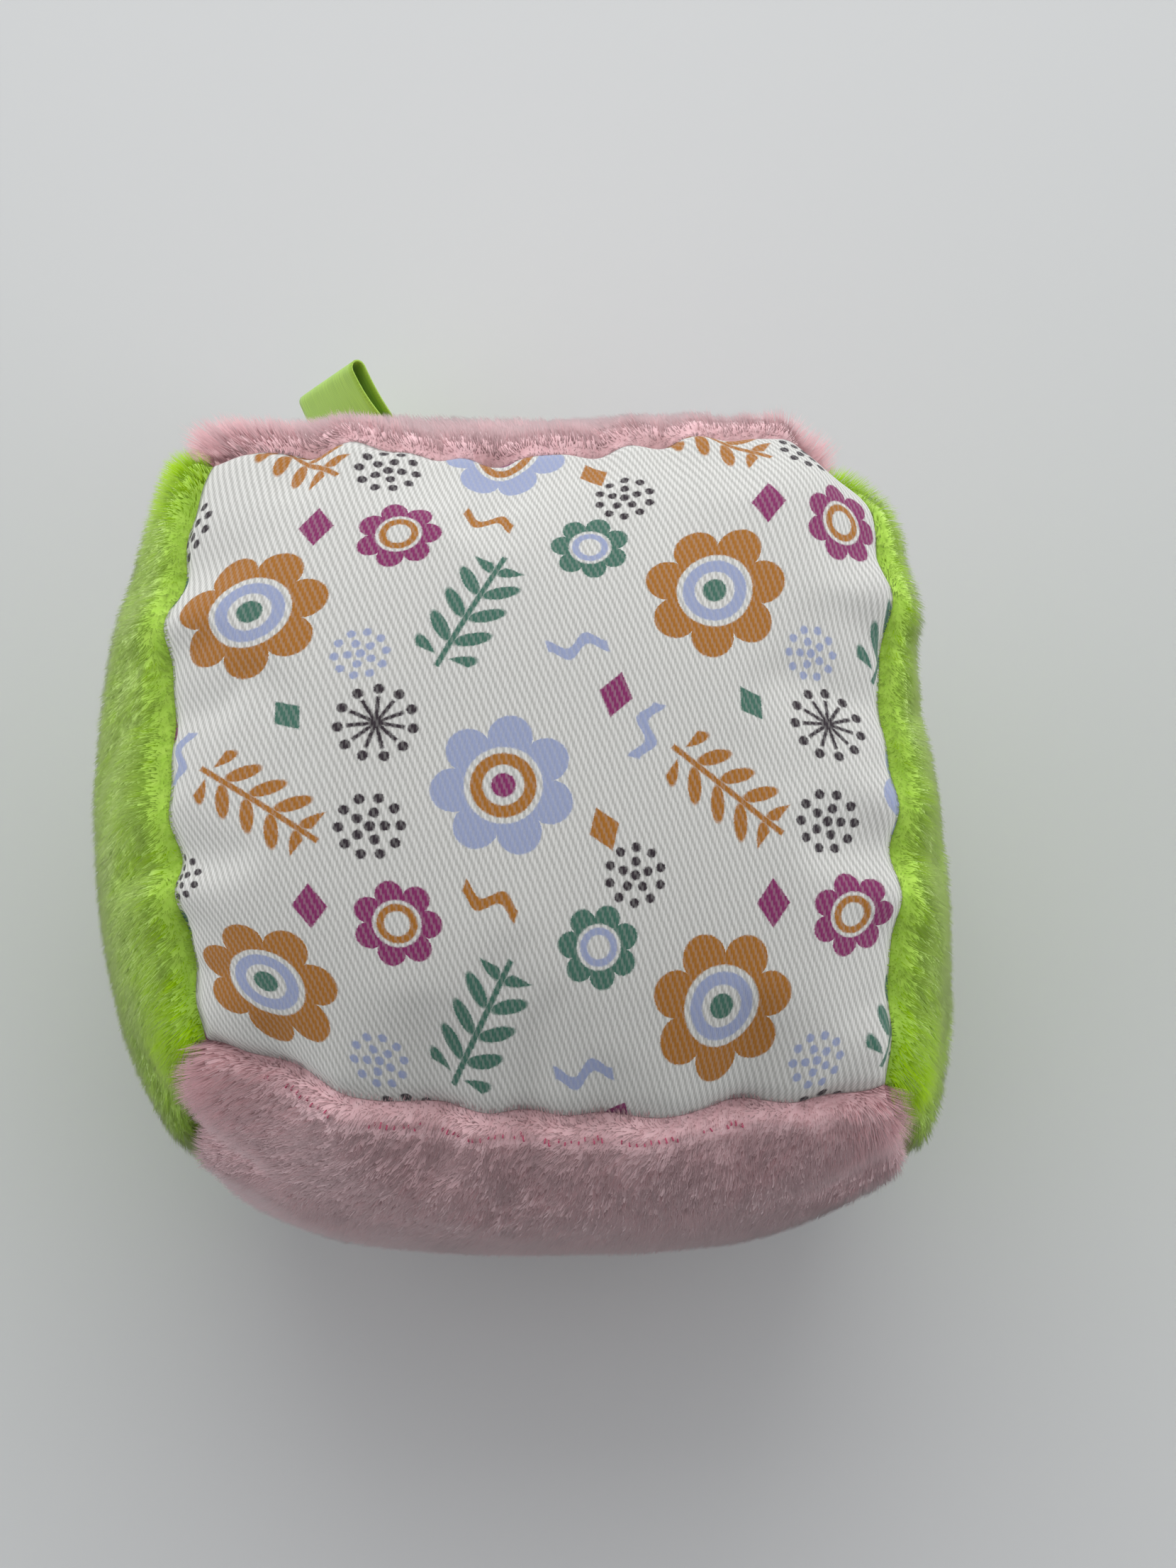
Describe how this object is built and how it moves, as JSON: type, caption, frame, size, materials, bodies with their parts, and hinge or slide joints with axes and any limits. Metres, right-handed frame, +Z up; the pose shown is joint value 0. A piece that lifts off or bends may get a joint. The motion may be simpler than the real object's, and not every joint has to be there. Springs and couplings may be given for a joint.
{
  "type": "soft fabric block",
  "caption": "Stuffed fabric cube with printed twill and plush panels and a folded satin ribbon loop sewn into a seam, for a baby to grasp and stack.",
  "frame": {"origin": "middle of the flat face that the block rests on", "axes": "+Z up through the printed top panel, front panel towards -Y, left panel towards -X; the ribbon loop leaves the bottom back seam towards +Y"},
  "size_m": [0.116, 0.1478, 0.1104],
  "materials": {
    "printed_twill": "white cotton twill with diagonal ridges and a small scattered print",
    "green_plush": "lime green short-pile plush",
    "pink_plush": "pale pink short-pile plush",
    "fibrefill": "loose white polyester filling",
    "seam_thread": "spun polyester sewing thread",
    "closing_thread": "deep pink sewing thread",
    "satin_ribbon": "lime green single-face satin"
  },
  "bodies": {
    "block": {"top_panel": "printed_twill", "bottom_panel": "printed_twill", "left_panel": "green_plush", "right_panel": "green_plush", "front_panel": "pink_plush", "back_panel": "pink_plush", "stuffing": "fibrefill", "closing_stitch": "closing_thread", "seam_top_front": "seam_thread", "seam_top_back": "seam_thread", "seam_top_left": "seam_thread", "seam_top_right": "seam_thread", "seam_bottom_front": "seam_thread", "seam_bottom_back": "seam_thread", "seam_bottom_left": "seam_thread", "seam_bottom_right": "seam_thread", "seam_front_left": "seam_thread", "seam_front_right": "seam_thread", "seam_back_left": "seam_thread", "seam_back_right": "seam_thread"},
    "tab": {"ribbon_tab": "satin_ribbon"}
  },
  "joints": [
    {"name": "tab_flop", "type": "hinge", "parent": "block", "child": "tab", "pos_m": [-0.0195, 0.04696, 0.00526], "axis": [1, 0, 0], "range_deg": [-75, 28], "stiffness_Nm_per_rad": 0.0008}
  ]
}
